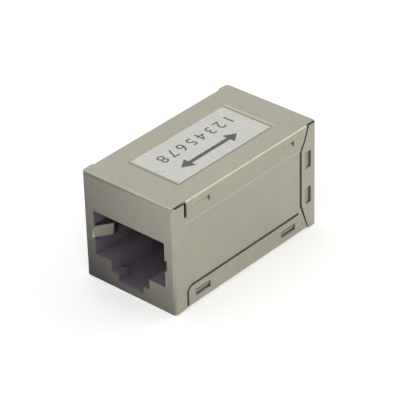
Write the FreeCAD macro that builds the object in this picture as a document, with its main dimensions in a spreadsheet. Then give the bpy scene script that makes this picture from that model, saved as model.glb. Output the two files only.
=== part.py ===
import FreeCAD, Part
import math
import os
import re
import Sketcher
from FreeCAD import Placement, Rotation, Vector

# Shielded inline coupler for network leads. Two eight-contact modular jacks stand back to back in a
# can of folded sheet. The frame has its origin under the middle of the can, on the face that it
# rests on. +Z is up, the front port faces -Y and the rear port faces +Y. All lengths are in
# millimetres and all angles in degrees.

doc = FreeCAD.newDocument("inline_coupler")

# ---------------------------------------------------------------------------------------------
# The driving sizes, one to a cell.

SIZES = [
    # The can as a whole.
    ("width", 15.3, "over the side panels"),
    ("height", 15.7, "from the bottom panel to the top panel"),
    ("length", 27.9, "from the front face to the rear face"),
    ("sheet", 0.3, "thickness of the folded sheet"),
    ("fold", 0.45, "outside radius of each fold"),
    ("lap", 0.03, "clearance between two layers of sheet"),
    ("seam", 0.38, "open seam between two neighbouring panels"),
    # The front shell: ears, side panels, and strips that hang from the top panel.
    ("ear_depth", 2.05, "from the front face to the slit behind an ear"),
    ("ear_drop", 0.1, "from the top panel down to the upper edge of an ear"),
    ("ear_gap", 0.05, "clearance between an ear and the top panel's edge beside it"),
    ("slit", 0.52, "from an ear to the front edge of the strip behind it"),
    ("strip_height", 2.85, "from the top panel down to a side panel's upper edge"),
    ("strip_sink", 0.03, "how far a strip lies below the face of the side panel"),
    ("strip_foot", 0.65, "height of the foot at a strip's lower front corner, under the slit"),
    ("margin_rise", 0.5, "how far the sunk margin stands up behind a strip"),
    ("toe_depth", 2.15, "from the front face to the seam in front of a bottom flange"),
    ("joggle", 0.35, "width of the step between a side panel and its sunk margin"),
    # The rear shell: rear flanges with mitred ends, and bottom flanges.
    ("rear_flange", 2.95, "from the rear face to a rear flange's front edge"),
    ("rear_seam", 0.46, "open seam between a side panel and the rear flange"),
    ("miter_seam", 0.3, "open seam along the upper miter"),
    ("upper_miter_run", 1.55, "how far the upper miter leans to the rear"),
    ("upper_miter_drop", 3.4, "how far below the top panel the upper miter starts"),
    ("miter_knee_run", 0.8, "from a rear flange's front edge to the knee in its miter"),
    ("miter_knee_drop", 1.9, "from the top panel down to the knee in the miter"),
    ("lower_miter_run", 1.4, "how far the lower miter leans to the rear"),
    ("lower_miter_rise", 4.1, "height at which the lower miter starts"),
    ("flange_rise", 3.0, "height of a bottom flange"),
    ("flange_corner", 0.7, "radius of a bottom flange's front corner"),
    ("heel_rise", 0.6, "how far a bottom flange's heel stands above the side panel's lower edge"),
    ("heel_lead", 0.25, "how far the heel's front edge leans"),
    # Windows in the flanges, with snap tongues lanced from the sunk margins.
    ("low_window_length", 2.83, "length of a bottom flange's window"),
    ("low_window_height", 0.95, "height of a bottom flange's window"),
    ("low_window_sill", 1.15, "height of the window's lower edge"),
    ("low_window_front", 5.2, "from the front face to the first window's middle"),
    ("low_window_rear", 5.8, "from the rear face to the second window's middle"),
    ("rear_window_width", 1.1, "width of a rear flange's window"),
    ("rear_window_height", 2.5, "height of a rear flange's window"),
    ("rear_window_inset", 1.6, "from the rear face to a rear window's middle"),
    ("rear_window_low", 5.15, "height of the lower rear window's middle"),
    ("rear_window_drop", 5.1, "from the top panel down to the upper rear window's middle"),
    ("tongue_gap", 0.1, "clearance between a tongue and its window"),
    # Bridge lances pressed in from the strips, over the shoulders of the housings.
    ("lance_length", 2.6, "length of a lance"),
    ("lance_height", 0.95, "height of a lance"),
    ("lance_slope", 0.3, "height of each of its two sloping sides"),
    ("lance_depth", 0.2, "how far it is pressed in"),
    ("lance_drop", 1.4, "from the top panel down to its middle"),
    ("lance_front", 5.6, "from the front face to the first lance's middle"),
    ("lance_rear", 5.8, "from the rear face to the second lance's middle"),
    # The label and the shallow tray that is coined for it in the top panel.
    ("label_width", 8.3, "width of the label"),
    ("label_length", 18.0, "length of the label"),
    ("label_thickness", 0.1, "thickness of the label"),
    ("label_corner", 0.12, "radius of the label's corners"),
    ("label_margin", 0.04, "room beside and before the label in its tray"),
    ("label_gap", 0.3, "room behind the label in its tray"),
    ("tray_depth", 0.12, "depth of the tray"),
    ("tray_slope", 35, "slope of the tray's walls, away from upright"),
    ("tray_corner", 0.15, "radius of the tray's corners"),
    # The port, the same at both ends.
    ("port_width", 12.0, "width of the cut-out for the plug's body"),
    ("port_floor", 3.7, "height of the ledge that the plug's body slides on"),
    ("port_height", 6.6, "height of the cut-out above the ledge"),
    ("latch_width", 6.5, "width of the upper notch, for the latch's shoulders"),
    ("latch_depth", 1.55, "depth of the upper notch"),
    ("keel_width", 4.4, "width of the lower notch, for the latch's tab"),
    ("keel_depth", 1.05, "depth of the lower notch"),
    # Spring fingers that touch the plug's screen.
    ("finger_rise", 2.4, "from the ledge up to a finger's lower edge"),
    ("finger_height", 1.65, "height of a finger"),
    ("finger_relief", 0.45, "how far the cut-out is relieved at a finger's root"),
    ("finger_lean", 33, "angle between a finger and the way in"),
    ("finger_return", 25, "angle of its tip, leaning back to the wall"),
    ("finger_reach", 2.9, "length of the leaning part"),
    ("finger_tip", 1.2, "length of the tip"),
    # The jack housings.
    ("housing_fit", 0.07, "clearance between a housing and the sheet beside it"),
    ("housing_split", 0.1, "gap between the two housings, back to back"),
    ("housing_corner", 0.3, "radius of a housing's upright corners"),
    ("cavity_depth", 12.6, "from the front face to the back of the cavity"),
    ("latch_wall", 1.6, "wall that the latch hooks behind"),
    ("latch_room", 8.0, "length of the pocket behind the latch wall"),
    ("latch_play", 0.1, "how much the pocket is wider than the upper notch, each side"),
    ("ceiling", 1.3, "from the port's upper edge to the shelf for the contact carrier"),
    ("cheek_rise", 1.75, "height of the housing's cheeks above that shelf"),
    ("cheek", 0.6, "thickness of a cheek"),
    ("brow", 2.1, "thickness of the housing above the port, front to back"),
    ("finger_room", 0.7, "depth of the pocket in the side wall for a finger"),
    ("finger_run", 5.5, "length of that pocket"),
    # The contact carrier, the contacts and the circuit board.
    ("carrier_start", 3.0, "from the front face to the carrier's front end"),
    ("carrier_length", 9.9, "length of the carrier"),
    ("carrier_margin", 0.55, "plastic outside the first and the last contact"),
    ("carrier_fit", 0.04, "clearance between the carrier and its slot"),
    ("carrier_lip", 0.6, "thickness of the lip that rests on the housing"),
    ("carrier_wing", 0.9, "how far the lip stands out at each side"),
    ("pitch", 1.02, "from one contact to the next"),
    ("wire", 0.36, "thickness of a contact's wire"),
    ("wire_bend", 0.22, "inside radius of the wire's bends"),
    ("wire_gap", 0.08, "clearance between a wire and its groove"),
    ("nose", 4.4, "from the front face to the front of the contacts"),
    ("nose_drop", 0.95, "height of the wire's turn at the front"),
    ("spring_angle", 17, "slope of the sprung part"),
    ("spring_length", 7.4, "length of the sprung part"),
    ("tail_inset", 10.9, "from the front face to the nearer row of tails"),
    ("tail_stagger", 1.3, "between the two rows of tails"),
    ("tail_proud", 0.35, "how far a tail stands above the board"),
    ("comb_rib", 0.46, "thickness of a rib of the comb"),
    ("comb_length", 1.5, "length of the comb, front to back"),
    ("comb_drop", 3.6, "how far the comb reaches down from the cavity's ceiling"),
    ("board_thickness", 1.0, "thickness of the circuit board"),
    ("board_fit", 0.08, "clearance between the board and the cheeks"),
    ("board_hole", 0.3, "radius of a hole for a tail"),
]

CONTACT_COUNT = 8

size = doc.addObject("Spreadsheet::Sheet", "size")
for row, (alias, value, note) in enumerate(SIZES, start=1):
    size.set(f"A{row}", alias)
    size.set(f"B{row}", str(value))
    size.set(f"C{row}", note)
    size.setAlias(f"B{row}", alias)
doc.recompute()

ALIASES = {alias for alias, value, note in SIZES}


def bound(expression):
    """An expression on the sheet's aliases, written as the document's expressions need it."""
    return re.sub(r"[a-z_]+", lambda word: f"size.{word[0]}" if word[0] in ALIASES else word[0], expression)


def value_of(expression):
    result = size.evalExpression(bound(expression))
    return float(getattr(result, "Value", result))


# Places that several pieces share, all worked out from the sheet. On the +X side, SIDE is the outer
# face of the side panels and flanges, INNER that of the margins sunk under the flanges, STRIP that
# of the strips, and UNDER_STRIP that of the margins sunk under the strips.
FRONT = "(-length / 2)"
REAR = "(length / 2)"
SIDE = "(width / 2)"
INNER = "(width / 2 - sheet - lap)"
STRIP = "(width / 2 - strip_sink)"
UNDER_STRIP = "(width / 2 - strip_sink - sheet - lap)"
EAR_SLOT = "(width / 2 - sheet - ear_gap)"
FOLD_INSIDE = "(fold - sheet)"
EAR_REAR = f"({FRONT} + ear_depth)"
STRIP_FRONT = f"({EAR_REAR} + slit)"
PANEL_TOP = "(height - strip_height)"
STRIP_LOW = f"({PANEL_TOP} + lap)"
PANEL_REAR = f"({REAR} - rear_flange - rear_seam)"
PANEL_LOW = "(flange_rise + seam)"
TOE_REAR = f"({FRONT} + toe_depth)"
FLANGE_FRONT = f"({TOE_REAR} + seam)"
REAR_FLANGE_FRONT = f"({REAR} - rear_flange)"
STRIP_REAR = f"({REAR_FLANGE_FRONT} + upper_miter_run - miter_seam)"
LOWER_MITER_FOOT = f"({REAR_FLANGE_FRONT} + lower_miter_run)"
TRAY_REAR = f"({LOWER_MITER_FOOT} - seam)"
FINGER_LOW = "(port_floor + finger_rise)"
PORT_TOP = "(port_floor + port_height)"
SHELF = f"({PORT_TOP} + ceiling)"
HOUSING_SIDE = f"({UNDER_STRIP} - sheet - housing_fit)"
HOUSING_TOP = f"({SHELF} + cheek_rise)"
BOARD_BASE = f"({SHELF} + carrier_lip)"
CARRIER_FRONT = f"({FRONT} + carrier_start)"
GROOVE_ROOF = f"({PORT_TOP} + wire + 2 * wire_gap)"


# ---------------------------------------------------------------------------------------------
# Sketches and features.

def origin_plane(body, plane):
    return next(item for item in body.Origin.OriginFeatures if item.Role == f"{plane}_Plane")


def pin(corner, geometry, end):
    """Hold a point of a sketch at the corner's two distances from the origin."""
    return [
        ("DistanceX", (-1, 1, geometry, end), corner[0]),
        ("DistanceY", (-1, 1, geometry, end), corner[1]),
    ]


def round_corner(sketch, corner, point, entry, leave, radius, line_in, line_out):
    """Join two lines with a tangent arc, and keep their crossing at the corner."""
    to_centre = (entry - point).normalize() + (leave - point).normalize()
    spread = (entry - point).getAngle(leave - point) / 2
    centre = point + to_centre.normalize() * (radius / math.sin(spread))
    turns_left = (point - entry).cross(leave - point).z > 0
    first, last = (entry, leave) if turns_left else (leave, entry)
    angles = [math.atan2(place.y - centre.y, place.x - centre.x) for place in (first, last)]
    arc = sketch.addGeometry(Part.ArcOfCircle(Part.Circle(centre, Vector(0, 0, 1), radius), *angles), False)
    arc_in, arc_out = (1, 2) if turns_left else (2, 1)
    crossing = sketch.addGeometry(Part.Point(point), True)
    return [
        ("Tangent", (line_in, 2, arc, arc_in), None),
        ("Tangent", (arc, arc_out, line_out, 1), None),
        ("Radius", (arc,), corner[2]),
        ("PointOnObject", (crossing, 1, line_in), None),
        ("PointOnObject", (crossing, 1, line_out), None),
    ] + pin(corner, crossing, 1)


def draw(sketch, outline):
    """Draw a closed outline and return its constraints, each (kind, places, expression or None).

    A corner of the outline is (across, up) or (across, up, radius), as expressions.
    """
    points = [Vector(value_of(corner[0]), value_of(corner[1]), 0) for corner in outline]
    radii = [value_of(corner[2]) if len(corner) > 2 else 0 for corner in outline]
    entries = []
    leaves = []
    for index, point in enumerate(points):
        backward = (points[index - 1] - point).normalize()
        forward = (points[(index + 1) % len(points)] - point).normalize()
        setback = radii[index] / math.tan(backward.getAngle(forward) / 2)
        entries.append(point + backward * setback)
        leaves.append(point + forward * setback)
    lines = []
    for index in range(len(points)):
        line = Part.LineSegment(leaves[index], entries[(index + 1) % len(points)])
        lines.append(sketch.addGeometry(line, False))
    limits = []
    for index, corner in enumerate(outline):
        line_in, line_out = lines[index - 1], lines[index]
        if radii[index]:
            limits += round_corner(sketch, corner, points[index], entries[index], leaves[index],
                                   radii[index], line_in, line_out)
        else:
            limits += [("Coincident", (line_in, 2, line_out, 1), None)] + pin(corner, line_out, 1)
    return limits


def draw_disc(sketch, across, up, radius):
    """Draw a circle and return its constraints."""
    centre = Vector(value_of(across), value_of(up), 0)
    circle = sketch.addGeometry(Part.Circle(centre, Vector(0, 0, 1), value_of(radius)), False)
    return [("Radius", (circle,), radius)] + pin((across, up), circle, 3)


def constrain(sketch, limits):
    """Add the constraints in one go, and tie each dimension to the sheet."""
    constraints = []
    for kind, places, expression in limits:
        amount = () if expression is None else (value_of(expression),)
        constraints.append(Sketcher.Constraint(kind, *places, *amount))
    sketch.addConstraint(constraints)
    for index, (kind, places, expression) in enumerate(limits):
        if expression is not None:
            sketch.renameConstraint(index, f"size_{index}")
            sketch.setExpression(f"Constraints.size_{index}", bound(expression))


def extrude(body, name, plane, outlines, start, depth, cut=False, discs=(), taper="0"):
    """Pad or pocket outlines and discs drawn on one of the body's own planes, towards the plus side.

    Across and up are X and Y on the XY plane, X and Z on XZ, and Y and Z on YZ. The start is
    measured along the third axis. With a taper, the outlines grow by that angle on the way.
    """
    against = plane == "XZ"
    sketch = body.newObject("Sketcher::SketchObject", f"{name}_sketch")
    sketch.AttachmentSupport = [(origin_plane(body, plane), "")]
    sketch.MapMode = "FlatFace"
    sketch.setExpression("AttachmentOffset.Base.z", bound(f"-({start})" if against else start))
    limits = [limit for outline in outlines for limit in draw(sketch, outline)]
    limits += [limit for disc in discs for limit in draw_disc(sketch, *disc)]
    constrain(sketch, limits)
    volume_before = body.Shape.Volume if body.Tip else 0
    feature = body.newObject("PartDesign::Pocket" if cut else "PartDesign::Pad", name)
    feature.Profile = sketch
    feature.Reversed = against != cut
    feature.setExpression("Length", bound(depth))
    if taper != "0":
        feature.setExpression("TaperAngle", bound(taper))
    doc.recompute()
    change = body.Shape.Volume - volume_before
    if (change >= 0) if cut else (change <= 0):
        raise RuntimeError(f"{body.Label}: {name} changed the volume by {change}")
    return feature


def rectangle(left, low, right, high, *radius):
    return [(left, low, *radius), (right, low, *radius), (right, high, *radius), (left, high, *radius)]


def new_body(label):
    return doc.addObject("PartDesign::Body", label)


def bent_strip(start, legs, thickness, bend, flip_across="1", flip_up="1"):
    """The outline of a strip that is bent at each joint between two straight legs.

    A leg is (length, heading). The thickness goes to the right of the path, bend is the inside
    radius, and the two flips mirror the strip.
    """
    near = [start]
    for length, heading in legs:
        across, up = near[-1]
        near.append((f"({across} + {length} * cos({heading}))", f"({up} + {length} * sin({heading}))"))
    headings = [heading for length, heading in legs]
    far = []
    for index, (across, up) in enumerate(near):
        along = headings[min(index, len(legs) - 1)]
        slide = "0"
        if 0 < index < len(legs):
            along = headings[index - 1]
            slide = f"({thickness} * tan(({headings[index]} - {along}) / 2))"
        far.append((f"({across} + {thickness} * sin({along}) + {slide} * cos({along}))",
                    f"({up} - {thickness} * cos({along}) + {slide} * sin({along}))"))
    turns = [value_of(f"{headings[index]} - ({headings[index - 1]})") for index in range(1, len(legs))]
    inside = bend
    outside = f"({bend} + {thickness})"
    near_radii = [inside if turn > 0 else outside for turn in turns]
    far_radii = [outside if turn > 0 else inside for turn in turns]
    near = [near[0]] + [(*point, radius) for point, radius in zip(near[1:-1], near_radii)] + [near[-1]]
    far = [far[0]] + [(*point, radius) for point, radius in zip(far[1:-1], far_radii)] + [far[-1]]
    return [(f"{flip_across} * ({corner[0]})", f"{flip_up} * ({corner[1]})", *corner[2:])
            for corner in near + far[::-1]]


# ---------------------------------------------------------------------------------------------
# The port is cut through both end faces alike: a rectangle for the plug's body with two stepped
# notches for its latch below, and a relief at the root of each spring finger.

def port_outline():
    body_half = "port_width / 2"
    relief_half = "(port_width / 2 + finger_relief)"
    latch_half = "latch_width / 2"
    keel_half = "keel_width / 2"
    latch_low = "port_floor - latch_depth"
    keel_low = "port_floor - latch_depth - keel_depth"
    finger_high = f"{FINGER_LOW} + finger_height"
    right = [
        (keel_half, keel_low),
        (keel_half, latch_low),
        (latch_half, latch_low),
        (latch_half, "port_floor"),
        (body_half, "port_floor"),
        (body_half, FINGER_LOW),
        (relief_half, FINGER_LOW),
        (relief_half, finger_high),
        (body_half, finger_high),
        (body_half, PORT_TOP),
    ]
    left = [(f"-{across}", up) for across, up in reversed(right)]
    return right + left


def cut_port(body, face):
    extrude(body, "port", "XZ", [port_outline()], f"{face} - 2 * sheet", "4 * sheet", cut=True)


def add_fingers(body, end_sign):
    """Spring fingers bent in from both side edges of the port, with tips that lean back out."""
    root = ("port_width / 2 + finger_relief + sheet", FRONT)
    legs = [
        ("(finger_relief / 2 + sheet)", "180"),
        ("finger_reach", "(90 + finger_lean)"),
        ("finger_tip", "(90 - finger_return)"),
    ]
    for name, side in (("left_finger", "-1"), ("right_finger", "1")):
        outline = bent_strip(root, legs, "sheet", FOLD_INSIDE, side, end_sign)
        extrude(body, name, "XY", [outline], FINGER_LOW, "finger_height")


# ---------------------------------------------------------------------------------------------
# The front shell is one folded sheet: front face, two side panels folded back from its upright
# edges, and a top panel folded back from its upper edge. Each side panel is joggled in along its
# upper margin, under a strip that hangs from the top panel, and along its bottom and rear margins,
# under the flanges of the rear shell.

def make_front_shell():
    body = new_body("front_shell")
    ear_top = "height - ear_drop"
    beyond = f"{REAR}"
    above = "height + seam"
    extrude(body, "front_and_sides", "XY", [[
        (f"-{SIDE}", STRIP_REAR),
        (f"-{SIDE}", FRONT, "fold"),
        (SIDE, FRONT, "fold"),
        (SIDE, STRIP_REAR),
        (f"{SIDE} - sheet", STRIP_REAR),
        (f"{SIDE} - sheet", f"{FRONT} + sheet", FOLD_INSIDE),
        (f"-{SIDE} + sheet", f"{FRONT} + sheet", FOLD_INSIDE),
        (f"-{SIDE} + sheet", STRIP_REAR),
    ]], "0", ear_top)
    extrude(body, "ear_corners", "YZ", [[
        (FRONT, f"{ear_top} - fold - lap"),
        (FRONT, ear_top, "fold"),
        (f"{FRONT} + fold + lap", ear_top),
        (f"{FRONT} + fold + lap", above),
        (f"{FRONT} - seam", above),
        (f"{FRONT} - seam", f"{ear_top} - fold - lap"),
    ]], f"-{SIDE}", "width", cut=True)
    extrude(body, "panel_upper_edge", "YZ",
            [[(EAR_REAR, above), (EAR_REAR, PANEL_TOP), (beyond, PANEL_TOP), (beyond, above)]],
            f"-{SIDE}", "width", cut=True)
    extrude(body, "panel_lower_edge", "YZ", [[
        (TOE_REAR, "-seam"),
        (beyond, "-seam"),
        (beyond, f"{PANEL_LOW} + heel_rise"),
        (PANEL_REAR, f"{PANEL_LOW} + heel_rise"),
        (f"{PANEL_REAR} - heel_lead", PANEL_LOW),
        (TOE_REAR, PANEL_LOW, "flange_corner + seam"),
    ]], f"-{SIDE}", "width", cut=True)
    extrude(body, "fold_relief", "XZ",
            [rectangle(f"-{EAR_SLOT}", "height - fold", EAR_SLOT, "height")],
            f"{FRONT} - sheet", "2 * sheet", cut=True)
    extrude(body, "top_fold", "YZ", [[
        (FRONT, "height - fold - lap"),
        (FRONT, "height", "fold"),
        (f"{STRIP_FRONT} + lap", "height"),
        (f"{STRIP_FRONT} + lap", "height - sheet"),
        (f"{FRONT} + sheet", "height - sheet", FOLD_INSIDE),
        (f"{FRONT} + sheet", "height - fold - lap"),
    ]], f"-{EAR_SLOT}", f"2 * {EAR_SLOT}")
    extrude(body, "top_and_strips", "XZ", [[
        (f"-{STRIP}", STRIP_LOW),
        (f"-{STRIP}", "height", "fold"),
        (STRIP, "height", "fold"),
        (STRIP, STRIP_LOW),
        (f"{STRIP} - sheet", STRIP_LOW),
        (f"{STRIP} - sheet", "height - sheet", FOLD_INSIDE),
        (f"-{STRIP} + sheet", "height - sheet", FOLD_INSIDE),
        (f"-{STRIP} + sheet", STRIP_LOW),
    ]], STRIP_FRONT, f"{STRIP_REAR} - {STRIP_FRONT}")
    for name, left in (("left_foot", f"-{STRIP}"), ("right_foot", f"{STRIP} - sheet")):
        foot = rectangle(left, STRIP_LOW, f"{left} + sheet", f"{STRIP_LOW} + strip_foot")
        extrude(body, name, "XZ", [foot], f"{EAR_REAR} + lap", "slit")
    extrude(body, "panel_rear_edge", "YZ", [[
        (PANEL_REAR, "-seam"),
        (PANEL_REAR, "height - upper_miter_drop"),
        (f"{REAR_FLANGE_FRONT} + miter_knee_run - miter_seam", "height - miter_knee_drop"),
        (STRIP_REAR, "height"),
        (STRIP_REAR, above),
        (beyond, above),
        (beyond, "-seam"),
    ]], f"-{SIDE}", "width", cut=True)
    extrude(body, "top_tail", "XZ",
            [rectangle(f"-{EAR_SLOT}", "height - sheet", EAR_SLOT, "height")],
            f"{STRIP_REAR} - sheet", f"{REAR} - {STRIP_REAR} + sheet")
    add_margins(body)
    add_lances(body)
    add_low_tongues(body)
    add_rear_tongues(body)
    add_label_tray(body)
    cut_port(body, FRONT)
    add_fingers(body, "1")
    return body


def add_margins(body):
    """The joggled steps and the sunk margins of each side panel."""
    margin_front = f"({PANEL_REAR} - joggle)"
    toe_front = f"({TOE_REAR} - joggle)"
    step_high = f"({PANEL_LOW} + joggle)"
    margin_low = "(fold + lap)"
    margin_rear = f"({REAR} - fold - lap)"
    step = [
        (toe_front, margin_low),
        (TOE_REAR, margin_low),
        (TOE_REAR, PANEL_LOW, "flange_corner + seam"),
        (f"{PANEL_REAR} - heel_lead", PANEL_LOW),
        (PANEL_REAR, f"{PANEL_LOW} + heel_rise"),
        (PANEL_REAR, PANEL_TOP),
        (margin_front, PANEL_TOP),
        (margin_front, f"{step_high} + heel_rise"),
        (f"{margin_front} - heel_lead", step_high),
        (toe_front, step_high),
    ]
    margin = [
        (toe_front, margin_low),
        (margin_rear, margin_low),
        (margin_rear, PANEL_TOP),
        (margin_front, PANEL_TOP),
        (margin_front, f"{step_high} + heel_rise"),
        (f"{margin_front} - heel_lead", step_high),
        (toe_front, step_high),
    ]
    upper_front = f"({EAR_REAR} - joggle)"
    upper_step = rectangle(upper_front, f"{PANEL_TOP} - joggle", PANEL_REAR, PANEL_TOP)
    upper_margin = rectangle(upper_front, f"{PANEL_TOP} - joggle", PANEL_REAR,
                             f"{PANEL_TOP} + margin_rise")
    layers = [
        ("left_step", step, f"-{INNER} - lap", "lap"),
        ("right_step", step, INNER, "lap"),
        ("left_margin", margin, f"-{INNER}", "sheet"),
        ("right_margin", margin, f"{INNER} - sheet", "sheet"),
        ("left_upper_step", upper_step, f"-{SIDE} + sheet", "strip_sink + lap"),
        ("right_upper_step", upper_step, UNDER_STRIP, "strip_sink + lap"),
        ("left_upper_margin", upper_margin, f"-{UNDER_STRIP}", "sheet"),
        ("right_upper_margin", upper_margin, f"{UNDER_STRIP} - sheet", "sheet"),
    ]
    for name, outline, start, depth in layers:
        extrude(body, name, "YZ", [outline], start, depth)


def add_lances(body):
    """Bridge lances in the strips: sheared at both ends and pressed in as a trough."""
    middle = "(height - lance_drop)"
    low = f"({middle} - lance_height / 2)"
    high = f"({middle} + lance_height / 2)"
    places = [
        ("front_lance", f"({FRONT} + lance_front - lance_length / 2)"),
        ("rear_lance", f"({REAR} - lance_rear - lance_length / 2)"),
    ]
    for name, start in places:
        window = rectangle(start, low, f"{start} + lance_length", high)
        extrude(body, f"{name}_window", "YZ", [window], f"-{STRIP}", f"2 * {STRIP}", cut=True)
        for side_name, side in (("left", "-1"), ("right", "1")):
            trough = [
                (STRIP, low),
                (f"({STRIP} - lance_depth)", f"{low} + lance_slope"),
                (f"({STRIP} - lance_depth)", f"{high} - lance_slope"),
                (STRIP, high),
                (f"({STRIP} - sheet)", high),
                (f"({STRIP} - lance_depth - sheet)", f"{high} - lance_slope"),
                (f"({STRIP} - lance_depth - sheet)", f"{low} + lance_slope"),
                (f"({STRIP} - sheet)", low),
            ]
            outline = [(f"{side} * {across}", up) for across, up in trough]
            extrude(body, f"{side_name}_{name}", "XZ", [outline], start, "lance_length")


def low_window_fronts():
    return [
        ("front", f"({FRONT} + low_window_front - low_window_length / 2)"),
        ("rear", f"({REAR} - low_window_rear - low_window_length / 2)"),
    ]


def rear_window_lows():
    return [
        ("lower", "(rear_window_low - rear_window_height / 2)"),
        ("upper", "(height - rear_window_drop - rear_window_height / 2)"),
    ]


def add_low_tongues(body):
    """Snap tongues in the bottom margins. Each leans out from its foot into a flange's window."""
    foot = "low_window_sill"
    tip = "(low_window_sill + low_window_height - tongue_gap)"
    for name, start in low_window_fronts():
        hole = rectangle(start, foot, f"{start} + low_window_length", f"{tip} + tongue_gap")
        extrude(body, f"{name}_low_hole", "YZ", [hole], f"-{INNER}", f"2 * {INNER}", cut=True)
        for side_name, side in (("left", "-1"), ("right", "1")):
            tongue = [
                (f"({INNER} - sheet)", foot),
                (INNER, foot),
                (SIDE, tip),
                (f"({SIDE} - sheet)", tip),
            ]
            outline = [(f"{side} * {across}", up) for across, up in tongue]
            extrude(body, f"{side_name}_{name}_low_tongue", "XZ", [outline],
                    f"{start} + tongue_gap", "low_window_length - 2 * tongue_gap")


def add_rear_tongues(body):
    """Snap tongues in the rear margins. Each leans out from its rear end into a flange's window."""
    root = f"({REAR} - rear_window_inset + rear_window_width / 2)"
    tip = f"({root} - rear_window_width + tongue_gap)"
    for name, low in rear_window_lows():
        hole = rectangle(f"{tip} - tongue_gap", low, root, f"{low} + rear_window_height")
        extrude(body, f"{name}_rear_hole", "YZ", [hole], f"-{INNER}", f"2 * {INNER}", cut=True)
        for side_name, side in (("left", "-1"), ("right", "1")):
            tongue = [
                (f"({INNER} - sheet)", root),
                (INNER, root),
                (SIDE, tip),
                (f"({SIDE} - sheet)", tip),
            ]
            outline = [(f"{side} * {across}", up) for across, up in tongue]
            extrude(body, f"{side_name}_{name}_rear_tongue", "XY", [outline],
                    f"{low} + tongue_gap", "rear_window_height - 2 * tongue_gap")


def add_label_tray(body):
    """A shallow tray coined in the top panel, which stands out as much below the sheet."""
    wall = "(label_width / 2 + label_margin)"
    front_wall = "(-label_length / 2 - label_margin)"
    rear_wall = "(label_length / 2 + label_gap)"
    extrude(body, "tray_underside", "XY",
            [rectangle(f"-{wall} - sheet / 2", f"{front_wall} - sheet / 2",
                       f"{wall} + sheet / 2", f"{rear_wall} + sheet / 2", "tray_corner + sheet / 2")],
            "height - sheet - tray_depth", "tray_depth")
    extrude(body, "tray", "XY",
            [rectangle(f"-{wall}", front_wall, wall, rear_wall, "tray_corner")],
            "height - tray_depth", "2 * tray_depth", cut=True, taper="tray_slope")


# ---------------------------------------------------------------------------------------------
# The rear shell is the other folded sheet: rear face, two rear flanges folded forward from its
# upright edges, and a bottom panel folded forward from its lower edge. Bottom flanges stand up from
# the bottom panel, and meet the rear flanges at a miter. The top panel lies over the rear face.

def make_rear_shell():
    body = new_body("rear_shell")
    extrude(body, "rear_and_flanges", "XY", [[
        (f"-{SIDE}", REAR_FLANGE_FRONT),
        (f"-{SIDE}", REAR, "fold"),
        (SIDE, REAR, "fold"),
        (SIDE, REAR_FLANGE_FRONT),
        (f"{SIDE} - sheet", REAR_FLANGE_FRONT),
        (f"{SIDE} - sheet", f"{REAR} - sheet", FOLD_INSIDE),
        (f"-{SIDE} + sheet", f"{REAR} - sheet", FOLD_INSIDE),
        (f"-{SIDE} + sheet", REAR_FLANGE_FRONT),
    ]], "0", "height - ear_drop")
    extrude(body, "rear_face_top", "XZ",
            [rectangle(f"-{SIDE} + sheet", "height - sheet - lap", f"{SIDE} - sheet", "height")],
            f"{REAR} - 2 * sheet", "3 * sheet", cut=True)
    ahead = f"({REAR_FLANGE_FRONT} - seam)"
    extrude(body, "upper_miter", "YZ", [[
        (REAR_FLANGE_FRONT, "height - upper_miter_drop"),
        (f"{REAR_FLANGE_FRONT} + miter_knee_run", "height - miter_knee_drop"),
        (f"{REAR_FLANGE_FRONT} + upper_miter_run", "height"),
        (ahead, "height"),
        (ahead, "height - upper_miter_drop"),
    ]], f"-{SIDE}", "width", cut=True)
    extrude(body, "lower_miter", "YZ", [[
        (REAR_FLANGE_FRONT, "lower_miter_rise"),
        (ahead, "lower_miter_rise"),
        (ahead, "0"),
        (LOWER_MITER_FOOT, "0"),
    ]], f"-{SIDE}", "width", cut=True)
    extrude(body, "fold_relief", "XZ",
            [rectangle(f"-{INNER}", "-sheet", INNER, "fold")],
            f"{REAR} - 2 * sheet", "3 * sheet", cut=True)
    extrude(body, "bottom_fold", "YZ", [[
        (REAR, "fold + lap"),
        (REAR, "0", "fold"),
        (TRAY_REAR, "0"),
        (TRAY_REAR, "sheet"),
        (f"{REAR} - sheet", "sheet", FOLD_INSIDE),
        (f"{REAR} - sheet", "fold + lap"),
    ]], f"-{INNER}", f"2 * {INNER}")
    extrude(body, "bottom_panel", "XZ", [[
        (f"-{SIDE}", "fold + lap"),
        (f"-{SIDE}", "0", "fold"),
        (SIDE, "0", "fold"),
        (SIDE, "fold + lap"),
        (f"{SIDE} - sheet", "fold + lap"),
        (f"{SIDE} - sheet", "sheet", FOLD_INSIDE),
        (f"-{SIDE} + sheet", "sheet", FOLD_INSIDE),
        (f"-{SIDE} + sheet", "fold + lap"),
    ]], FLANGE_FRONT, f"{TRAY_REAR} - {FLANGE_FRONT}")
    nose_half = f"({SIDE} - fold)"
    nose_front = f"({FRONT} + sheet + lap)"
    extrude(body, "bottom_nose", "XY",
            [rectangle(f"-{nose_half}", nose_front, nose_half, FLANGE_FRONT)], "0", "sheet")
    add_low_flanges(body)
    for name, start in low_window_fronts():
        window = rectangle(start, "low_window_sill", f"{start} + low_window_length",
                           "low_window_sill + low_window_height")
        extrude(body, f"{name}_low_window", "YZ", [window], f"-{SIDE}", "width", cut=True)
    window_rear = f"({REAR} - rear_window_inset + rear_window_width / 2)"
    for name, low in rear_window_lows():
        window = rectangle(f"{window_rear} - rear_window_width", low, window_rear,
                           f"{low} + rear_window_height")
        extrude(body, f"{name}_rear_window", "YZ", [window], f"-{SIDE}", "width", cut=True)
    cut_port(body, REAR)
    add_fingers(body, "-1")
    return body


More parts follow.
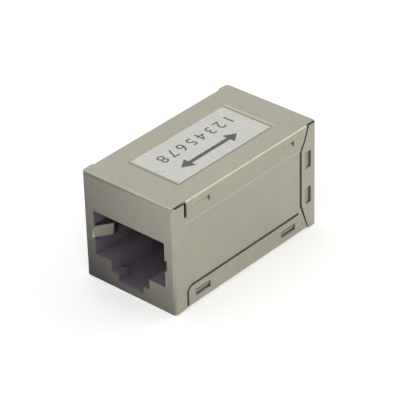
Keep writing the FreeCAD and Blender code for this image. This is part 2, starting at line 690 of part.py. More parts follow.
def add_low_flanges(body):
    """Bottom flanges. The heel follows the rear flange's miter, a seam in front of it."""
    heel_high = f"({PANEL_LOW} + heel_rise)"
    miter_lean = "(lower_miter_run / lower_miter_rise)"
    flange = [
        (FLANGE_FRONT, "fold"),
        (TRAY_REAR, "fold"),
        (f"{TRAY_REAR} - {heel_high} * {miter_lean}", heel_high),
        (f"{PANEL_REAR} + lap", heel_high),
        (f"{PANEL_REAR} - heel_lead + lap", PANEL_LOW),
        (f"{PANEL_REAR} - heel_lead + lap", "flange_rise"),
        (FLANGE_FRONT, "flange_rise", "flange_corner"),
    ]
    for name, start in (("left_flange", f"-{SIDE}"), ("right_flange", f"{SIDE} - sheet")):
        extrude(body, name, "YZ", [flange], start, "sheet")


# ---------------------------------------------------------------------------------------------
# A jack housing, moulded in black plastic. It is drawn at the front and turned round for the rear.

def make_housing(label, placement):
    body = new_body(label)
    face = f"({FRONT} + sheet)"
    extrude(body, "block", "XY",
            [rectangle(f"-{HOUSING_SIDE}", face, HOUSING_SIDE, "-housing_split / 2", "housing_corner")],
            "sheet", f"{HOUSING_TOP} - sheet")
    sole = f"({FOLD_INSIDE} + lap)"
    extrude(body, "sole_chamfer", "YZ", [[
        (face, "sheet"),
        (f"{face} + {sole}", "sheet"),
        (face, f"sheet + {sole}"),
    ]], f"-{HOUSING_SIDE}", f"2 * {HOUSING_SIDE}", cut=True)
    extrude(body, "cavity", "XZ",
            [rectangle("-port_width / 2", "port_floor", "port_width / 2", PORT_TOP)],
            FRONT, "cavity_depth", cut=True)
    keel_low = "(port_floor - latch_depth - keel_depth)"
    latch_low = "(port_floor - latch_depth)"
    extrude(body, "latch_notch", "XZ", [[
        ("-keel_width / 2", keel_low),
        ("keel_width / 2", keel_low),
        ("keel_width / 2", latch_low),
        ("latch_width / 2", latch_low),
        ("latch_width / 2", "port_floor"),
        ("-latch_width / 2", "port_floor"),
        ("-latch_width / 2", latch_low),
        ("-keel_width / 2", latch_low),
    ]], FRONT, "sheet + latch_wall", cut=True)
    pocket_half = "(latch_width / 2 + latch_play)"
    extrude(body, "latch_pocket", "XZ",
            [rectangle(f"-{pocket_half}", keel_low, pocket_half, "port_floor")],
            f"{face} + latch_wall", "latch_room", cut=True)
    finger_half = "(port_width / 2 + finger_room)"
    extrude(body, "finger_pockets", "XZ",
            [rectangle(f"-{finger_half}", f"{FINGER_LOW} - seam", finger_half,
                       f"{FINGER_LOW} + finger_height + seam")],
            FRONT, "finger_run", cut=True)
    slot_half = f"({carrier_half()} + carrier_fit)"
    slot_front = f"({CARRIER_FRONT} - carrier_fit)"
    slot_rear = f"({CARRIER_FRONT} + carrier_length + carrier_fit)"
    extrude(body, "carrier_slot", "XY",
            [rectangle(f"-{slot_half}", slot_front, slot_half, slot_rear)],
            f"{PORT_TOP} - lap", "ceiling + 2 * lap", cut=True)
    board_half = f"({HOUSING_SIDE} - cheek)"
    extrude(body, "board_pocket", "XY",
            [rectangle(f"-{board_half}", f"{FRONT} + brow + sheet", board_half, "0")],
            SHELF, "2 * cheek_rise", cut=True)
    add_comb(body)
    body.Placement = placement
    return body


def add_comb(body):
    """Ribs at the back of the cavity that keep the sprung ends of the contacts apart."""
    rear = f"({FRONT} + cavity_depth)"
    ribs = []
    for index in range(CONTACT_COUNT + 1):
        middle = f"({index - CONTACT_COUNT / 2} * pitch)"
        ribs.append(rectangle(f"{middle} - comb_rib / 2", f"{PORT_TOP} - comb_drop",
                              f"{middle} + comb_rib / 2", PORT_TOP))
    extrude(body, "comb", "XZ", ribs, f"{rear} - comb_length", "comb_length")


def carrier_half():
    return f"({(CONTACT_COUNT - 1) / 2} * pitch + carrier_margin)"


def contact_across(index):
    return f"({index - (CONTACT_COUNT - 1) / 2} * pitch)"


def tail_middle(index):
    """How far back a contact's tail stands. The tails make two rows, odd and even."""
    return f"({FRONT} + tail_inset + {index % 2} * tail_stagger)"


# A contact carrier holds eight wires in grooves in its underside, which is part of the cavity's
# ceiling. Its lip rests on the housing and carries the circuit board.

def make_carrier(label, placement):
    body = new_body(label)
    half = carrier_half()
    rear = f"({CARRIER_FRONT} + carrier_length)"
    wing_half = f"({half} + carrier_wing)"
    extrude(body, "core", "XZ", [[
        (f"-{half}", PORT_TOP),
        (half, PORT_TOP),
        (half, SHELF),
        (wing_half, SHELF),
        (wing_half, BOARD_BASE),
        (f"-{wing_half}", BOARD_BASE),
        (f"-{wing_half}", SHELF),
        (f"-{half}", SHELF),
    ]], CARRIER_FRONT, "carrier_length")
    groove_half = "(wire / 2 + wire_gap)"
    grooves = []
    holes = []
    for index in range(CONTACT_COUNT):
        across = contact_across(index)
        groove_rear = f"{tail_middle(index)} + {groove_half}"
        grooves.append(rectangle(f"{across} - {groove_half}", f"{FRONT} + nose - wire_gap",
                                 f"{across} + {groove_half}", groove_rear))
        holes.append(rectangle(f"{across} - {groove_half}", f"{tail_middle(index)} - {groove_half}",
                               f"{across} + {groove_half}", groove_rear))
    extrude(body, "grooves", "XY", grooves, f"{PORT_TOP} - lap", f"{GROOVE_ROOF} - {PORT_TOP} + lap",
            cut=True)
    extrude(body, "tail_holes", "XY", holes, PORT_TOP, f"{BOARD_BASE} - {PORT_TOP} + lap", cut=True)
    body.Placement = placement
    return body


# A contact is one bent wire. Its tail stands in the circuit board, it runs forward in the carrier's
# groove, turns down at the nose and springs back into the cavity.

def make_contact(label, index, placement):
    body = new_body(label)
    tail_top = f"({BOARD_BASE} + board_thickness + tail_proud)"
    run_low = f"({PORT_TOP} + wire_gap)"
    tail_front = f"({tail_middle(index)} - wire / 2)"
    start = (tail_front, tail_top)
    legs = [
        (f"({tail_top} - {run_low} - wire)", "(-90)"),
        (f"({tail_front} - {FRONT} - nose - wire)", "(-180)"),
        ("(nose_drop + wire)", "(-90)"),
        ("spring_length", "(-spring_angle)"),
    ]
    outline = bent_wire(start, legs)
    extrude(body, "wire_profile", "YZ", [outline], "-wire / 2", "wire")
    body.Placement = placement
    across = contact_across(index)
    turned = placement.Rotation.Angle > 1
    body.setExpression("Placement.Base.x", bound(f"-{across}" if turned else across))
    return body


def bent_wire(start, legs):
    """A wire whose thickness lies to the left of its path."""
    mirrored = [(length, f"(180 - {heading})") for length, heading in legs]
    return bent_strip((f"(-{start[0]})", start[1]), mirrored, "wire", "wire_bend", "-1", "1")


def make_board():
    """The circuit board, with a hole for each tail, lies on both carriers between the cheeks."""
    body = new_body("circuit_board")
    half_width = f"({HOUSING_SIDE} - cheek - board_fit)"
    half_length = f"({REAR} - sheet - brow - board_fit)"
    extrude(body, "board", "XY",
            [rectangle(f"-{half_width}", f"-{half_length}", half_width, half_length)],
            BOARD_BASE, "board_thickness")
    for name, end in (("front_tail_holes", "1"), ("rear_tail_holes", "-1")):
        holes = [(f"{end} * {contact_across(index)}", f"{end} * {tail_middle(index)}", "board_hole")
                 for index in range(CONTACT_COUNT)]
        extrude(body, name, "XY", [], BOARD_BASE, "2 * board_thickness", cut=True, discs=holes)
    return body


def make_label():
    """A thin label that lies in the tray of the top panel."""
    body = new_body("label")
    extrude(body, "film", "XY",
            [rectangle("-label_width / 2", "-label_length / 2", "label_width / 2", "label_length / 2",
                       "label_corner")],
            "height - tray_depth", "label_thickness")
    return body


# ---------------------------------------------------------------------------------------------
# Build, check and write.

AS_DRAWN = Placement()
TURNED = Placement(Vector(0, 0, 0), Rotation(Vector(0, 0, 1), 180))

pieces = [make_front_shell(), make_rear_shell(), make_board(), make_label()]
for end_name, end_placement in (("front", AS_DRAWN), ("rear", TURNED)):
    pieces.append(make_housing(f"{end_name}_housing", end_placement))
    pieces.append(make_carrier(f"{end_name}_contact_carrier", end_placement))
    for number in range(CONTACT_COUNT):
        pieces.append(make_contact(f"contact_{end_name}_{number + 1}", number, end_placement))
doc.recompute()

for item in doc.Objects:
    if "Invalid" in item.State or "Error" in item.State:
        raise RuntimeError(f"{item.Label} is {item.State}")
for piece in pieces:
    if piece.Shape.isNull() or not piece.Shape.isValid():
        raise RuntimeError(f"{piece.Label} has no valid shape")
    if len(piece.Shape.Solids) != 1:
        raise RuntimeError(f"{piece.Label} has {len(piece.Shape.Solids)} solids")

os.makedirs("parts", exist_ok=True)
for piece in pieces:
    piece.Shape.exportStep(os.path.join("parts", f"{piece.Label}.step"))
    print(f"{piece.Label}: {piece.Shape.Volume:.2f} mm3")
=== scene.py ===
import math

import bmesh
import bpy
from mathutils import Matrix, Vector


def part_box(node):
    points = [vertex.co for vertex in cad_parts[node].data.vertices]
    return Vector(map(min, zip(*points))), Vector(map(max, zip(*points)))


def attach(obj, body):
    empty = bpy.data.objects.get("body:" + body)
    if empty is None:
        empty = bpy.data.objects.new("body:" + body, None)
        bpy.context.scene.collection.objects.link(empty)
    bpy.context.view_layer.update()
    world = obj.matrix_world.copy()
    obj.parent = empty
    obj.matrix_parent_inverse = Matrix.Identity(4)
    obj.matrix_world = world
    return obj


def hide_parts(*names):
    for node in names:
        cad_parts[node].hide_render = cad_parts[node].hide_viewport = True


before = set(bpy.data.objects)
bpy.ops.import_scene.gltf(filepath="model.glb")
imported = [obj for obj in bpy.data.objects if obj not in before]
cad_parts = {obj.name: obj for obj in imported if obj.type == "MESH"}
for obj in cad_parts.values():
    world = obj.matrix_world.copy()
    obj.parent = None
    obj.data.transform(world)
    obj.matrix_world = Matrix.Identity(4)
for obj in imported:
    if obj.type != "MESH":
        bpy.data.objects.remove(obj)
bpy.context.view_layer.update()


# ---- Circuit board ----
# A stiff glass-fibre board that joins the two jacks. It lies on both carriers, is
# covered in green solder mask over copper tracks, and its edges are cut bare.

class Socket:
    """An output of a material's nodes. Arithmetic on it adds Math nodes."""

    def __init__(self, tree, output):
        self.tree = tree
        self.output = output

    def node(self, kind, settings=None, inputs=None, output=0):
        made = self.tree.nodes.new(kind)
        for name, value in (settings or {}).items():
            setattr(made, name, value)
        for name, value in (inputs or {}).items():
            if isinstance(value, Socket):
                self.tree.links.new(value.output, made.inputs[name])
            else:
                made.inputs[name].default_value = value
        return Socket(self.tree, made.outputs[output])

    def math(self, operation, first, second=0.0, clamp=False):
        settings = {"operation": operation, "use_clamp": clamp}
        return self.node("ShaderNodeMath", settings, {0: first, 1: second})

    def __add__(self, other):
        return self.math("ADD", self, other)

    def __radd__(self, other):
        return self.math("ADD", other, self)

    def __sub__(self, other):
        return self.math("SUBTRACT", self, other)

    def __rsub__(self, other):
        return self.math("SUBTRACT", other, self)

    def __mul__(self, other):
        return self.math("MULTIPLY", self, other)

    def __rmul__(self, other):
        return self.math("MULTIPLY", other, self)

    def either(self, other):
        """The greater of the two."""
        return self.math("MAXIMUM", self, other)

    def size(self):
        return self.math("ABSOLUTE", self)

    def above(self, low, high):
        """0 below low, 1 over high, and a smooth step between them."""
        settings = {"interpolation_type": "SMOOTHSTEP"}
        inputs = {"Value": self, "From Min": low, "From Max": high}
        return self.node("ShaderNodeMapRange", settings, inputs)

    def colour(self, first, second):
        """The first colour where this is 0, and the second where it is 1."""
        inputs = {0: self, 6: first, 7: second}
        return self.node("ShaderNodeMix", {"data_type": "RGBA"}, inputs, 2)

    def noise(self, scale, detail=2.0, stretch=(1.0, 1.0, 1.0)):
        """Soft grain, in cells of about 1/scale metres, on these coordinates."""
        placed = self.node("ShaderNodeMapping", None, {"Vector": self, "Scale": stretch})
        inputs = {"Vector": placed, "Scale": scale, "Detail": detail}
        return self.node("ShaderNodeTexNoise", None, inputs)

    def axis(self, name):
        return self.node("ShaderNodeSeparateXYZ", None, {0: self}, name)

    def bump(self, height, distance):
        inputs = {"Height": height, "Distance": distance, "Strength": 1.0}
        return self.node("ShaderNodeBump", None, inputs)


def finish(name, fixed):
    """A new material with these constants on its shader, and its object coordinates."""
    material = bpy.data.materials.new(name)
    material.use_nodes = True
    tree = material.node_tree
    shader = tree.nodes["Principled BSDF"]
    for socket, value in fixed.items():
        shader.inputs[socket].default_value = value
    coordinates = tree.nodes.new("ShaderNodeTexCoord")
    return material, shader, Socket(tree, coordinates.outputs["Object"])


def feed(shader, **sources):
    """Links sources, such as Base_Color=paint, to the shader's sockets."""
    for socket, source in sources.items():
        source.tree.links.new(source.output, shader.inputs[socket.replace("_", " ")])


def wear(node, material):
    """Gives a CAD node this material in place of its own."""
    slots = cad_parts[node].data.materials
    slots.clear()
    slots.append(material)


MM = 0.001
MASK_GREEN = (0.010, 0.085, 0.030, 1)
MASK_OVER_COPPER = (0.022, 0.150, 0.050, 1)
BARE_LAMINATE = (0.420, 0.370, 0.190, 1)
HALF_TRACK_PITCH = 0.51 * MM
TRACK_EDGE = (0.14 * MM, 0.18 * MM)
TRACK_END = (7.6 * MM, 7.7 * MM)
BOARD_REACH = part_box("circuit_board")[1]
BARE_FROM = 0.04 * MM
BARE_TO = 0.02 * MM

board_finish, board_shader, point = finish("board_finish", {"IOR": 1.5, "Coat Weight": 0.3})
across = point.axis("X").size()
along = point.axis("Y").size()
lane = point.math("PINGPONG", point.axis("X"), HALF_TRACK_PITCH)
copper = 1 - lane.above(*TRACK_EDGE) * (1 - along.above(*TRACK_END))
cut_side = across.above(BOARD_REACH.x - BARE_FROM, BOARD_REACH.x - BARE_TO)
cut_end = along.above(BOARD_REACH.y - BARE_FROM, BOARD_REACH.y - BARE_TO)
bare = cut_side.either(cut_end)
fibres = point.noise(5200, 3, (1, 1, 0.3))
feed(
    board_shader,
    Base_Color=bare.colour(copper.colour(MASK_GREEN, MASK_OVER_COPPER), BARE_LAMINATE),
    Roughness=0.28 + 0.45 * bare + 0.10 * fibres,
    Normal=point.bump(0.6 * copper + fibres * bare, 0.02 * MM),
)
wear("circuit_board", board_finish)


# ---- Contact wires ----
# Sixteen spring wires of phosphor bronze, plated with nickel all over and with
# hard gold where the plug touches. Each is pressed into its carrier and soldered.

GOLD = (0.830, 0.560, 0.180, 1)
GOLD_WORN = (0.620, 0.440, 0.190, 1)
contact_finish, contact_shader, point = finish("contact_finish", {"Metallic": 1.0})
drawn = point.noise(9000, 2, (1, 0.08, 0.3))
rubbed = point.noise(1600, 3).above(0.45, 0.70)
feed(
    contact_shader,
    Base_Color=rubbed.colour(GOLD, GOLD_WORN),
    Roughness=0.20 + 0.12 * drawn + 0.12 * rubbed,
    Normal=point.bump(drawn, 0.004 * MM),
)
for end in ("front", "rear"):
    for number in range(1, 9):
        wear(f"contact_{end}_{number}", contact_finish)


# ---- Contact carriers ----
# Two small blocks moulded in glass-filled nylon, which hold the wires in a row.
# Their surface is matt, with a fine grain from the mould.

CARRIER_PALE = (0.300, 0.290, 0.270, 1)
CARRIER_DEEP = (0.220, 0.215, 0.205, 1)
carrier_finish, carrier_shader, point = finish("carrier_finish", {"IOR": 1.52})
flecks = point.noise(3800, 4)
feed(
    carrier_shader,
    Base_Color=flecks.above(0.35, 0.65).colour(CARRIER_DEEP, CARRIER_PALE),
    Roughness=0.55 + 0.15 * flecks,
    Normal=point.bump(flecks, 0.012 * MM),
)
wear("front_contact_carrier", carrier_finish)
wear("rear_contact_carrier", carrier_finish)


# ---- Jack housings ----
# Two black housings moulded in flame-resistant plastic, with the stepped opening
# for the plug and its latch. Spark-eroded mould walls leave them softly matt.

HOUSING_BLACK = (0.135, 0.116, 0.145, 1)
HOUSING_GREY = (0.160, 0.138, 0.170, 1)
housing_finish, housing_shader, point = finish("housing_finish", {"IOR": 1.5})
eroded = point.noise(6500, 3)
flow = point.noise(260, 2, (1, 0.35, 1))
feed(
    housing_shader,
    Base_Color=flow.above(0.35, 0.70).colour(HOUSING_BLACK, HOUSING_GREY),
    Roughness=0.48 + 0.16 * eroded,
    Normal=point.bump(eroded, 0.010 * MM),
)
wear("front_housing", housing_finish)
wear("rear_housing", housing_finish)


# ---- Shells ----
# Two sheets of thin brass, punched, folded and plated with satin nickel. Their cut
# edges are eased, two lines on them are painted bright as highlights, and the upper
# cut ends on the right are painted dark as shade. They close round the jacks and snap into each
# other for good.

NICKEL = (0.425, 0.412, 0.335, 1)
NICKEL_DULL = (0.385, 0.372, 0.300, 1)
# The colour of the painted highlights.
NICKEL_HIGHLIGHT = (0.510, 0.495, 0.410, 1)
STRIP_FOOT = 12.88 * MM
# A band on the top just behind the label's tray, painted bright as the highlight of the tray's
# rear rim.
TRAY_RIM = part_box("label")[1].y + 0.58 * MM
TRAY_RIM_WIDTH = (0.08 * MM, 0.30 * MM)
TRAY_SIDE = (4.0 * MM, 4.4 * MM)
TOP_FACE = (15.3 * MM, 15.5 * MM)
# The line on both side panels just below the strips' feet, painted bright as a highlight.
FOOT_HIGHLIGHT = STRIP_FOOT - 0.11 * MM
FOOT_HIGHLIGHT_WIDTH = (0.05 * MM, 0.14 * MM)
SIDE_FACE = (7.50 * MM, 7.55 * MM)
STRIP_FRONT = (-12.2 * MM, -11.6 * MM)
STRIP_BACK = (10.2 * MM, 10.9 * MM)

shell_finish, shell_shader, point = finish("shell_finish", {"Metallic": 1.0})
rolled = point.noise(2600, 3, (1, 0.12, 1))
clouds = point.noise(150, 3)
peel = point.noise(1900, 2)
plating = (0.45 * clouds + 0.10 * rolled + 0.45 * peel).above(0.30, 0.70)
# Painted highlight: a bright band on the top behind the label's tray.
painted_tray_highlight = 1 - (point.axis("Y") - TRAY_RIM).size().above(*TRAY_RIM_WIDTH)
painted_tray_highlight = painted_tray_highlight * (1 - point.axis("X").size().above(*TRAY_SIDE))
painted_tray_highlight = painted_tray_highlight * point.axis("Z").above(*TOP_FACE)
# Painted highlight: a bright line on the side panels just below the strips' feet.
painted_foot_highlight = 1 - (point.axis("Z") - FOOT_HIGHLIGHT).size().above(*FOOT_HIGHLIGHT_WIDTH)
painted_foot_highlight = painted_foot_highlight * point.axis("X").size().above(*SIDE_FACE)
painted_foot_highlight = painted_foot_highlight * point.axis("Y").above(*STRIP_FRONT)
painted_foot_highlight = painted_foot_highlight * (1 - point.axis("Y").above(*STRIP_BACK))
# Both painted highlights take the bright nickel colour.
painted_highlights = painted_tray_highlight + painted_foot_highlight
feed(
    shell_shader,
    Base_Color=painted_highlights.colour(plating.colour(NICKEL_DULL, NICKEL), NICKEL_HIGHLIGHT),
    Roughness=0.30 + 0.08 * clouds + 0.06 * rolled,
    Normal=point.bump(0.8 * peel + 0.2 * rolled, 0.0022 * MM),
)

CUT_DULL = (0.220, 0.184, 0.190, 1)
CUT_BRIGHT = (0.330, 0.285, 0.285, 1)
# Painted shade for the upper cut ends on the right, which stand in the dark gaps beside the top.
CUT_PAINTED_SHADE = (0.060, 0.045, 0.053, 1)
FACES_UP = (0.5, 0.8)
UPPER_END = (13.6 * MM, 14.4 * MM)
RIGHT_HALF = (-1 * MM, 1 * MM)
cut_finish, cut_shader, point = finish("cut_finish", {"Metallic": 0.6})
torn = point.noise(5200, 3, (1, 1, 0.4))
outward = point.node("ShaderNodeTexCoord", None, None, "Normal")
upper_end = outward.axis("Z").above(*FACES_UP) * point.axis("Z").above(*UPPER_END)
cut = torn.above(0.40, 0.65).colour(CUT_DULL, CUT_BRIGHT)
# Upward cut ends high up are plated nickel on the left half and painted dark as shade on the
# right half.
plated_or_painted_shade = point.axis("X").above(*RIGHT_HALF).colour(NICKEL, CUT_PAINTED_SHADE)
feed(
    cut_shader,
    Base_Color=upper_end.colour(cut, plated_or_painted_shade),
    Roughness=0.55 + 0.20 * torn,
    Normal=point.bump(torn, 0.010 * MM),
)

SAME_PLACE = 0.01 * MM
MERGED = 0.0005 * MM
FLAT = math.radians(0.5)
SHARP = math.radians(40)
SQUARE = math.radians(70)
BURR = 0.03 * MM
STRIP_INSIDE = 7.3 * MM
FOOT_GAP = 0.027 * MM
TOE_END = -11.8 * MM
TOE_LENGTH = 0.05 * MM
TOE_LIFT = 0.19 * MM
CUT_WIDTH = 0.33 * MM
CUT_RIM = 0.8


def piece_from(name, shape, *finishes):
    """An object at the origin with this shape and these materials."""
    mesh = bpy.data.meshes.new(name)
    shape.to_mesh(mesh)
    shape.free()
    for material in finishes:
        mesh.materials.append(material)
    made = bpy.data.objects.new(name, mesh)
    bpy.context.scene.collection.objects.link(made)
    return made


def turns_over(edge, angle):
    return len(edge.link_faces) == 2 and edge.calc_face_angle() > angle


def folded_sheet(node, name):
    """The CAD node's sheet as one piece, with its cut edges eased and its bends smooth."""
    sheet = bmesh.new()
    sheet.from_mesh(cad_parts[node].data)
    bmesh.ops.remove_doubles(sheet, verts=sheet.verts, dist=MERGED)
    bmesh.ops.dissolve_limit(sheet, angle_limit=FLAT, verts=sheet.verts, edges=sheet.edges)

    # Every sharp edge is eased, but the feet of the strips stay sharp and close.
    eased_share = sheet.edges.layers.float.new("bevel_weight_edge")
    feet = [
        vertex for vertex in sheet.verts
        if abs(vertex.co.z - STRIP_FOOT) < SAME_PLACE and abs(vertex.co.x) > STRIP_INSIDE
    ]
    for edge in sheet.edges:
        if turns_over(edge, SHARP):
            foot = all(vertex in feet for vertex in edge.verts)
            edge[eased_share] = float(not foot)
            edge.smooth = not foot
    for vertex in feet:
        vertex.co.z -= FOOT_GAP
    for vertex in sheet.verts:
        if vertex.co.z < SAME_PLACE and abs(vertex.co.y - TOE_END) < TOE_LENGTH:
            vertex.co.z += TOE_LIFT

    # A face as narrow as the sheet is thick, with square edges, is a cut edge.
    for face in sheet.faces:
        rim = sum(edge.calc_length() for edge in face.edges)
        square = sum(edge.calc_length() for edge in face.edges if turns_over(edge, SQUARE))
        narrow = 2 * face.calc_area() / rim < CUT_WIDTH
        face.smooth = True
        face.material_index = int(narrow and square > CUT_RIM * rim)
    piece = piece_from(name, sheet, shell_finish, cut_finish)
    eased = piece.modifiers.new("eased_edges", "BEVEL")
    eased.width = BURR
    eased.segments = 2
    eased.material = 0
    eased.limit_method = "WEIGHT"
    level = piece.modifiers.new("level_faces", "WEIGHTED_NORMAL")
    level.mode = "FACE_AREA"
    level.weight = 100
    level.keep_sharp = True
    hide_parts(node)
    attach(piece, "root")


folded_sheet("front_shell", "front_sheet")
folded_sheet("rear_shell", "rear_sheet")


# ---- Label ----
# A pale film, stuck in a shallow tray that is pressed into the top. Its satin face
# is printed in thin dark ink with the eight contact numbers and a double arrow.

FILM = (0.620, 0.622, 0.582, 1)
FILM_SOILED = (0.530, 0.532, 0.490, 1)
# The colour of the painted shade along the film's right and front edges.
FILM_PAINTED_SHADE = (0.310, 0.300, 0.245, 1)
label_low, label_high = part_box("label")
SHADE_RIGHT_EDGE = (label_high.x - 0.13 * MM, label_high.x - 0.05 * MM)
SHADE_FRONT_EDGE = (-0.40 * MM, -0.26 * MM)
label_finish, label_shader, point = finish("label_finish", {"IOR": 1.45, "Coat Weight": 0.08})
pulp = point.noise(4200, 4)
# Painted shade: the film is darker along its right edge and its front edge, where the gap beside
# them lies in shadow.
by_front = (label_low.y - point.axis("Y")).above(*SHADE_FRONT_EDGE)
painted_edge_shade = point.axis("X").above(*SHADE_RIGHT_EDGE).either(by_front)
mottle = point.noise(2600, 2).above(0.35, 0.65)
film = (0.6 * mottle + 0.4 * pulp).colour(FILM, FILM_SOILED)
feed(
    label_shader,
    Base_Color=painted_edge_shade.colour(film, FILM_PAINTED_SHADE),
    Roughness=0.45 + 0.15 * pulp,
    Normal=point.bump(pulp, 0.006 * MM),
)
wear("label", label_finish)

INK = (0.085, 0.078, 0.090, 1)
INK_THIN = (0.150, 0.142, 0.150, 1)
ink_finish, ink_shader, point = finish("ink_finish", {"IOR": 1.45})
speckle = point.noise(7000, 3)
feed(
    ink_shader,
    Base_Color=speckle.above(0.45, 0.75).colour(INK, INK_THIN),
    Roughness=0.50 + 0.15 * speckle,
    Normal=point.bump(speckle, 0.004 * MM),
)

INK_DEPTH = 0.006 * MM
DIGIT_HEIGHT = 1.8 * MM
DIGIT_SHARE = 0.70
DIGIT_SMALLEST = 0.03 * MM
DIGIT_ROW = -1.45 * MM
DIGIT_START = 8.9 * MM
DIGIT_PITCH = 1.82 * MM
HEAD_SPREAD = 0.62
printed = bmesh.new()


def print_digit(digit, x, y):
    """One digit, centred at x and y, which reads towards the front with its head to +X."""
    curve = bpy.data.curves.new("digit", "FONT")
    curve.body = digit
    curve.align_x = "CENTER"
    curve.align_y = "CENTER"
    curve.size = DIGIT_HEIGHT / DIGIT_SHARE
    curve.fill_mode = "NONE"
    shape = bpy.data.objects.new("digit", curve)
    mesh = bpy.data.meshes.new_from_object(shape)
    place = Matrix.Translation((x, y, label_high.z))
    mesh.transform(place @ Matrix.Rotation(-math.pi / 2, 4, "Z"))
    outline = bmesh.new()
    outline.from_mesh(mesh)
    bmesh.ops.remove_doubles(outline, verts=outline.verts, dist=DIGIT_SMALLEST)
    bmesh.ops.triangle_fill(outline, use_beauty=True, edges=outline.edges)
    outline.to_mesh(mesh)
    outline.free()
    printed.from_mesh(mesh)
    bpy.data.objects.remove(shape)
    bpy.data.curves.remove(curve)
    bpy.data.meshes.remove(mesh)


def print_arrow(x, y, length, width, head):
    """A straight arrow with a head at both ends, centred at x and y, along Y."""
    corners = []
    spread = head * HEAD_SPREAD
    for end in (1, -1):
        tip = end * length / 2
        neck = tip - end * head
        half = ((-width / 2, neck), (-spread, neck), (0, tip), (spread, neck), (width / 2, neck))
        for across, along in half:
            corners.append(printed.verts.new((x + end * across, y + along, label_high.z)))
    printed.faces.new(corners)


for number in range(1, 9):
    print_digit(str(number), DIGIT_ROW, DIGIT_START - number * DIGIT_PITCH)
print_arrow(x=1.75 * MM, y=-0.3 * MM, length=10.8 * MM, width=0.6 * MM, head=1.7 * MM)
raised = bmesh.ops.extrude_face_region(printed, geom=printed.faces[:])
upper = [item for item in raised["geom"] if isinstance(item, bmesh.types.BMVert)]
bmesh.ops.translate(printed, vec=(0, 0, INK_DEPTH), verts=upper)
bmesh.ops.recalc_face_normals(printed, faces=printed.faces)
label_print = piece_from("label_print", printed, ink_finish)
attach(label_print, "root")


# ---- Studio ----
# A pale paper floor that keeps the soft shadow, white surroundings, and three soft
# lamps: behind on the right, above on the left, and by the lens. Two dark cloths
# stand in front on the left, where only the metal's reflections see them.

AIM = Vector((0, 0, 8 * MM))
WHITE = (1, 1, 1, 1)
BLACK = (0, 0, 0, 1)
PAPER = (0.80, 0.80, 0.80, 1)
CLOTH = (0.034, 0.012, 0.110, 1)


def lamp(name, place, size, radiance, colour):
    """A square area lamp aimed at the middle of the object."""
    light = bpy.data.lights.new(name, "AREA")
    light.size = size
    light.color = colour
    light.energy = radiance * math.pi * size * size
    made = bpy.data.objects.new(name, light)
    turn = (AIM - Vector(place)).to_track_quat("-Z", "Y").to_matrix().to_4x4()
    made.matrix_world = Matrix.Translation(place) @ turn
    bpy.context.scene.collection.objects.link(made)
    return made


lamp("key_lamp", (0.12, 0.23, 0.25), size=0.16, radiance=1.85, colour=(1.0, 0.98, 0.77))
lamp("top_lamp", (-0.10, 0.02, 0.30), size=0.14, radiance=1.2, colour=(1.0, 1.0, 1.0))
fill = lamp(
    "fill_lamp", (0.169, -0.188, 0.167), size=0.12, radiance=3.5, colour=(1.0, 0.98, 1.0)
)
fill.visible_glossy = False


def seen_rays(tree):
    """1 for the camera's rays, and 1 for those and the rays in metal and through glass."""
    path = tree.nodes.new("ShaderNodeLightPath")
    camera_ray = Socket(tree, path.outputs["Is Camera Ray"])
    glossy_ray = Socket(tree, path.outputs["Is Glossy Ray"])
    clear_ray = Socket(tree, path.outputs["Is Transmission Ray"])
    return camera_ray, camera_ray.either(glossy_ray.either(clear_ray))


def backdrop_finish(name, cover):
    """A material whose surface is the shader that cover makes from its coordinates."""
    material = bpy.data.materials.new(name)
    material.use_nodes = True
    tree = material.node_tree
    tree.nodes.clear()
    coordinates = tree.nodes.new("ShaderNodeTexCoord")
    output = tree.nodes.new("ShaderNodeOutputMaterial")
    surface = cover(Socket(tree, coordinates.outputs["Object"]))
    tree.links.new(surface.output, output.inputs["Surface"])
    return material


def paper(point):
    """Matt paper that glows a little where it is seen, so that it looks white."""
    camera_ray, seen = seen_rays(point.tree)
    matt = point.node("ShaderNodeBsdfDiffuse", None, {"Color": PAPER})
    glow = {"Color": WHITE, "Strength": 0.24 * seen + 0.08 * camera_ray}
    lift = point.node("ShaderNodeEmission", None, glow)
    return point.node("ShaderNodeAddShader", None, {0: matt, 1: lift})


plane = bmesh.new()
bmesh.ops.create_grid(plane, x_segments=1, y_segments=1, size=1.5)
floor = piece_from("floor", plane, backdrop_finish("floor_finish", paper))

FRONT_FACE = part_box("front_shell")[0].y
# How far up and to the right the low cloth's reflection lies on the front, for each
# millimetre that the cloth lies before it, and how the cloth thins over that.
REFLECTED_RISE = 0.828
REFLECTED_SHIFT = 0.859
LEFT_SIDE = -6.6
FOOT = 1
THIN_AT_CORNER = 0.15
THIN_ACROSS = 0.0260
THIN_UPWARDS = 0.0325
OPEN_OVER = (26 * MM, 58 * MM)
OPEN_RIGHT_OF = (-34 * MM, -17 * MM)


def cloth(point, open_share):
    """A dark cloth that lets this share of a reflection through."""
    dense = 1 - open_share
    clear = point.node("ShaderNodeBsdfTransparent", None, {"Color": WHITE})
    glow = {"Color": (dense * dense).colour(BLACK, CLOTH), "Strength": 1.0}
    dark = point.node("ShaderNodeEmission", None, glow)
    return point.node("ShaderNodeMixShader", None, {0: open_share, 1: dark, 2: clear})


def low_cloth(point):
    """Dense by the foot of the front, and open towards its top and its right."""
    away = (FRONT_FACE - point.axis("Y")) * (1 / MM)
    rise = REFLECTED_RISE * away
    shift = point.axis("X") * (1 / MM) + REFLECTED_SHIFT * away
    across = THIN_AT_CORNER + THIN_ACROSS * (shift - LEFT_SIDE)
    return cloth(point, point.math("ADD", across, THIN_UPWARDS * (rise - FOOT), clamp=True))


def tall_cloth(point):
    """Dense on the left and low down, and open above and in the middle."""
    above = point.axis("Z").above(*OPEN_OVER)
    return cloth(point, above.either(point.axis("X").above(*OPEN_RIGHT_OF)))


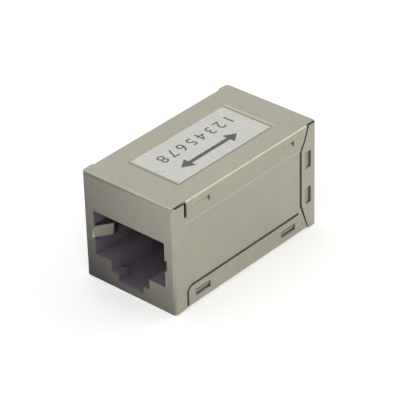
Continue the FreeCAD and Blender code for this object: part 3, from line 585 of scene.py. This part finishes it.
def flag(name, width, height, place, stands, cover):
    """A cloth on a frame, which only reflections see."""
    sheet = bmesh.new()
    bmesh.ops.create_grid(sheet, x_segments=1, y_segments=1, size=0.5)
    bmesh.ops.scale(sheet, vec=(width, height, 1), verts=sheet.verts)
    if stands:
        upright = Matrix.Rotation(math.pi / 2, 3, "X")
        bmesh.ops.rotate(sheet, matrix=upright, verts=sheet.verts)
    bmesh.ops.translate(sheet, vec=place, verts=sheet.verts)
    made = piece_from(name, sheet, backdrop_finish(name + "_finish", cover))
    made.visible_camera = False
    made.visible_diffuse = False
    made.visible_shadow = False
    made.visible_transmission = False


low_place = (-15 * MM, FRONT_FACE - 20 * MM, 0.05 * MM)
tall_place = (-55 * MM, FRONT_FACE - 38 * MM, 40 * MM)
flag("low_flag", 80 * MM, 40 * MM, low_place, stands=False, cover=low_cloth)
flag("tall_flag", 100 * MM, 80 * MM, tall_place, stands=True, cover=tall_cloth)

world = bpy.data.worlds.new("surroundings")
bpy.context.scene.world = world
world.use_nodes = True
background = world.node_tree.nodes["Background"]
background.inputs["Color"].default_value = WHITE
camera_ray, seen = seen_rays(world.node_tree)
world.node_tree.links.new((0.75 + 0.25 * seen).output, background.inputs["Strength"])


# ---- Camera ----
# A long lens at the front right, looking down at the port and one side. It is
# tilted a little about its axis, and shifted so that the coupler fills the view.

AZIMUTH = math.radians(41.86)
ELEVATION = math.radians(32.46)
ROLL = math.radians(-1.55)
PLACE = Vector((168.84, -188.11, 167.47)) * MM
back = Vector((
    math.sin(AZIMUTH) * math.cos(ELEVATION),
    -math.cos(AZIMUTH) * math.cos(ELEVATION),
    math.sin(ELEVATION),
))
level = Vector((math.cos(AZIMUTH), math.sin(AZIMUTH), 0))
upright = back.cross(level)
right = level * math.cos(ROLL) + upright * math.sin(ROLL)
up = upright * math.cos(ROLL) - level * math.sin(ROLL)
lens = bpy.data.cameras.new("camera")
lens.lens = 208.6
lens.sensor_width = 36
lens.shift_x = -0.0097
lens.shift_y = 0.011
lens.clip_start = 0.01
camera = bpy.data.objects.new("camera", lens)
turn = Matrix((right, up, back)).transposed().to_4x4()
camera.matrix_world = Matrix.Translation(PLACE) @ turn
bpy.context.scene.collection.objects.link(camera)
bpy.context.scene.camera = camera
bpy.context.scene.view_settings.view_transform = "Standard"
